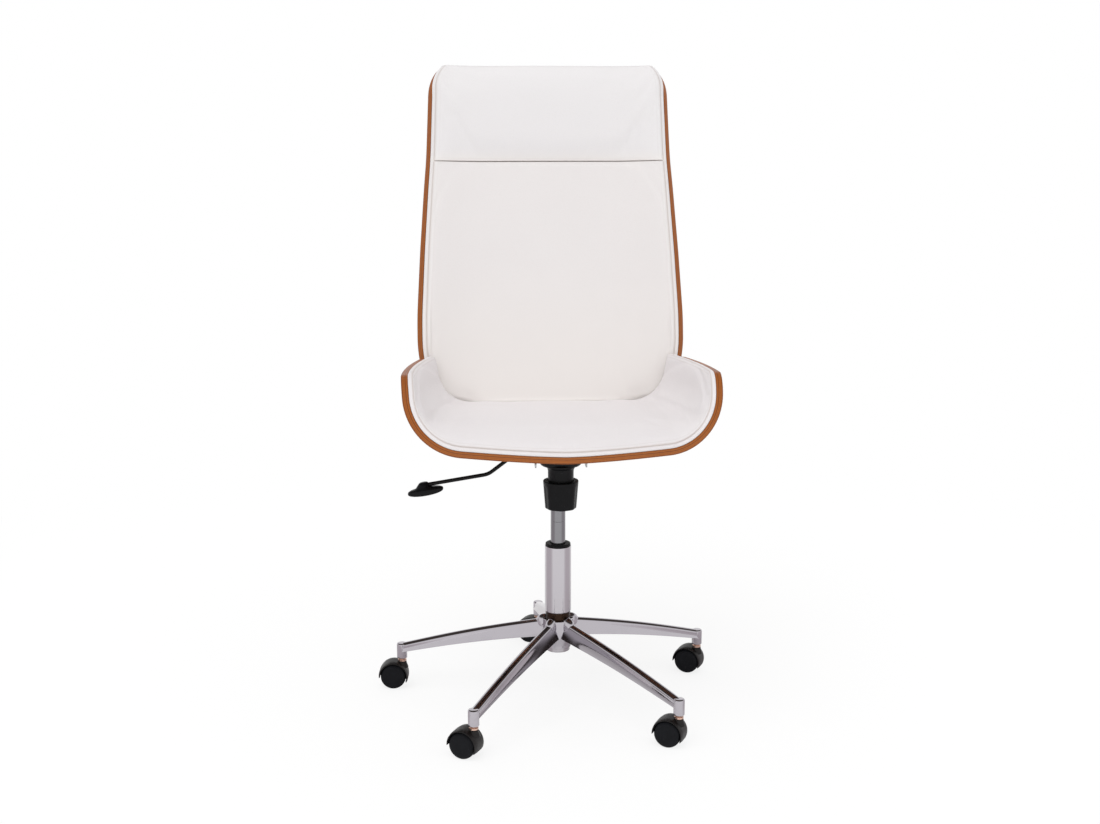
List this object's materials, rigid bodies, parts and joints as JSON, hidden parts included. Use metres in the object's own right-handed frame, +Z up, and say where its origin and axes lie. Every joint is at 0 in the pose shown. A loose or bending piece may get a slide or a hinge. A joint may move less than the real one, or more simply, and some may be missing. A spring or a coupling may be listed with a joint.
{
  "type": "office chair",
  "caption": "High-back office chair: bent plywood seat and back shells with leather pads, tilt mechanism, gas lift, and a star base on swivel casters.",
  "frame": {"origin": "on the floor, on the axis of the gas lift", "axes": "+Z up along the gas lift, -Y the way the sitter faces, +X the sitter's left"},
  "size_m": [0.6557, 0.6413, 1.2003],
  "materials": {
    "base_chrome": "polished",
    "column_chrome": "polished",
    "cylinder_chrome": "polished",
    "bright_steel": "satin",
    "caster_steel": "satin",
    "bolt_steel": "satin",
    "spring_steel": "satin",
    "black_steel": "satin",
    "lever_black": "satin",
    "caster_plastic": "satin",
    "wheel_plastic": "satin",
    "bush_plastic": "satin",
    "knob_plastic": "satin",
    "paddle_plastic": "satin",
    "seat_ply": "satin lacquer",
    "back_ply": "satin lacquer",
    "seat_leather": "smooth, soft sheen",
    "back_leather": "smooth, soft sheen",
    "headrest_leather": "smooth, soft sheen"
  },
  "bodies": {
    "base": {"base_hub": "base_chrome", "base_leg_1": "base_chrome", "base_leg_2": "base_chrome", "base_leg_3": "base_chrome", "base_leg_4": "base_chrome", "base_leg_5": "base_chrome", "column_tube": "column_chrome", "column_bush": "bush_plastic", "thrust_bearing": "bright_steel"},
    "caster_1": {"caster_stem_1": "caster_steel", "caster_hood_1": "caster_plastic", "caster_axle_1": "caster_steel"},
    "wheel_body_1_left": {"wheel_1_left": "wheel_plastic"},
    "wheel_body_1_right": {"wheel_1_right": "wheel_plastic"},
    "caster_2": {"caster_stem_2": "caster_steel", "caster_hood_2": "caster_plastic", "caster_axle_2": "caster_steel"},
    "wheel_body_2_left": {"wheel_2_left": "wheel_plastic"},
    "wheel_body_2_right": {"wheel_2_right": "wheel_plastic"},
    "caster_3": {"caster_stem_3": "caster_steel", "caster_hood_3": "caster_plastic", "caster_axle_3": "caster_steel"},
    "wheel_body_3_left": {"wheel_3_left": "wheel_plastic"},
    "wheel_body_3_right": {"wheel_3_right": "wheel_plastic"},
    "caster_4": {"caster_stem_4": "caster_steel", "caster_hood_4": "caster_plastic", "caster_axle_4": "caster_steel"},
    "wheel_body_4_left": {"wheel_4_left": "wheel_plastic"},
    "wheel_body_4_right": {"wheel_4_right": "wheel_plastic"},
    "caster_5": {"caster_stem_5": "caster_steel", "caster_hood_5": "caster_plastic", "caster_axle_5": "caster_steel"},
    "wheel_body_5_left": {"wheel_5_left": "wheel_plastic"},
    "wheel_body_5_right": {"wheel_5_right": "wheel_plastic"},
    "lift_rod": {"piston_rod": "bright_steel", "rod_clip": "bright_steel"},
    "lift": {"gas_cylinder": "cylinder_chrome", "mechanism_housing": "black_steel", "tilt_axle": "bright_steel", "tension_spring": "spring_steel"},
    "valve": {"valve_button": "bright_steel"},
    "rocker": {"lever_rocker": "black_steel"},
    "lever": {"lever_rod": "lever_black", "lever_paddle": "paddle_plastic"},
    "spring_pull": {"tension_bolt": "bright_steel", "spring_washer": "bright_steel"},
    "knob": {"tension_knob": "knob_plastic"},
    "seat": {"seat_plate": "black_steel", "pull_pin": "bright_steel", "seat_shell": "seat_ply", "seat_cushion": "seat_leather", "back_shell": "back_ply", "back_cushion": "back_leather", "headrest_cushion": "headrest_leather", "plate_bolt_1": "bolt_steel", "plate_bolt_2": "bolt_steel", "plate_bolt_3": "bolt_steel", "plate_bolt_4": "bolt_steel", "back_bolt_1": "bolt_steel", "back_bolt_2": "bolt_steel"}
  },
  "joints": [
    {"name": "caster_1_swivel", "type": "hinge", "parent": "base", "child": "caster_1", "pos_m": [0.28835, 0.1165, 0.07], "axis": [0, 0, 1], "continuous": true},
    {"name": "wheel_1_left_roll", "type": "hinge", "parent": "caster_1", "child": "wheel_body_1_left", "pos_m": [0.27314, 0.12409, 0.02469], "axis": [0.4462, 0.8949, 0], "continuous": true},
    {"name": "wheel_1_right_roll", "type": "hinge", "parent": "caster_1", "child": "wheel_body_1_right", "pos_m": [0.27314, 0.12409, 0.02469], "axis": [0.4462, 0.8949, 0], "continuous": true},
    {"name": "caster_2_swivel", "type": "hinge", "parent": "base", "child": "caster_2", "pos_m": [-0.02169, 0.31024, 0.07], "axis": [0, 0, 1], "continuous": true},
    {"name": "wheel_2_left_roll", "type": "hinge", "parent": "caster_2", "child": "wheel_body_2_left", "pos_m": [-0.03691, 0.31783, 0.02469], "axis": [0.4462, 0.8949, 0], "continuous": true},
    {"name": "wheel_2_right_roll", "type": "hinge", "parent": "caster_2", "child": "wheel_body_2_right", "pos_m": [-0.03691, 0.31783, 0.02469], "axis": [0.4462, 0.8949, 0], "continuous": true},
    {"name": "caster_3_swivel", "type": "hinge", "parent": "base", "child": "caster_3", "pos_m": [-0.30176, 0.07524, 0.07], "axis": [0, 0, 1], "continuous": true},
    {"name": "wheel_3_left_roll", "type": "hinge", "parent": "caster_3", "child": "wheel_body_3_left", "pos_m": [-0.31873, 0.07628, 0.02469], "axis": [0.061, 0.9981, 0], "continuous": true},
    {"name": "wheel_3_right_roll", "type": "hinge", "parent": "caster_3", "child": "wheel_body_3_right", "pos_m": [-0.31873, 0.07628, 0.02469], "axis": [0.061, 0.9981, 0], "continuous": true},
    {"name": "caster_4_swivel", "type": "hinge", "parent": "base", "child": "caster_4", "pos_m": [-0.1648, -0.26374, 0.07], "axis": [0, 0, 1], "continuous": true},
    {"name": "wheel_4_left_roll", "type": "hinge", "parent": "caster_4", "child": "wheel_body_4_left", "pos_m": [-0.18002, -0.25616, 0.02469], "axis": [0.4462, 0.8949, 0], "continuous": true},
    {"name": "wheel_4_right_roll", "type": "hinge", "parent": "caster_4", "child": "wheel_body_4_right", "pos_m": [-0.18002, -0.25616, 0.02469], "axis": [0.4462, 0.8949, 0], "continuous": true},
    {"name": "caster_5_swivel", "type": "hinge", "parent": "base", "child": "caster_5", "pos_m": [0.19991, -0.23824, 0.07], "axis": [0, 0, 1], "continuous": true},
    {"name": "wheel_5_left_roll", "type": "hinge", "parent": "caster_5", "child": "wheel_body_5_left", "pos_m": [0.18469, -0.23065, 0.02469], "axis": [0.4462, 0.8949, 0], "continuous": true},
    {"name": "wheel_5_right_roll", "type": "hinge", "parent": "caster_5", "child": "wheel_body_5_right", "pos_m": [0.18469, -0.23065, 0.02469], "axis": [0.4462, 0.8949, 0], "continuous": true},
    {"name": "seat_swivel", "type": "hinge", "parent": "base", "child": "lift_rod", "pos_m": [0, 0, 0.2], "axis": [0, 0, 1], "continuous": true},
    {"name": "seat_height", "type": "slide", "parent": "lift_rod", "child": "lift", "axis": [0, 0, 1], "range_m": [-0.105, 0.005]},
    {"name": "tilt", "type": "hinge", "parent": "lift", "child": "seat", "pos_m": [0, -0.035, 0.497], "axis": [-1, 0, 0], "range_deg": [0, 12], "stiffness_Nm_per_rad": 150, "springref_deg": -20.05},
    {"name": "spring_pull_slide", "type": "slide", "parent": "lift", "child": "spring_pull", "axis": [0, 0, 1], "range_m": [0, 0.009], "deforming": ["tension_spring"]},
    {"name": "knob_turn", "type": "hinge", "parent": "spring_pull", "child": "knob", "pos_m": [0, -0.075, 0.42], "axis": [0, 0, 1], "range_deg": [-720, 720]},
    {"name": "height_lever", "type": "hinge", "parent": "lift", "child": "rocker", "pos_m": [-0.039, -0.012, 0.4985], "axis": [0, 1, 0], "range_deg": [0, 5], "stiffness_Nm_per_rad": 4, "springref_deg": -5.73},
    {"name": "tilt_lock_pull", "type": "slide", "parent": "rocker", "child": "lever", "axis": [-1, 0, 0], "range_m": [0, 0.012]},
    {"name": "valve_press", "type": "slide", "parent": "lift", "child": "valve", "axis": [0, 0, -1], "range_m": [0, 0.0036], "stiffness_N_per_m": 1500, "springref_m": -0.002}
  ],
  "couplings": [
    {"joint": "spring_pull_slide", "follows": "tilt", "m_per_rad": 0.04},
    {"joint": "valve_press", "follows": "height_lever", "m_per_rad": 0.039}
  ]
}
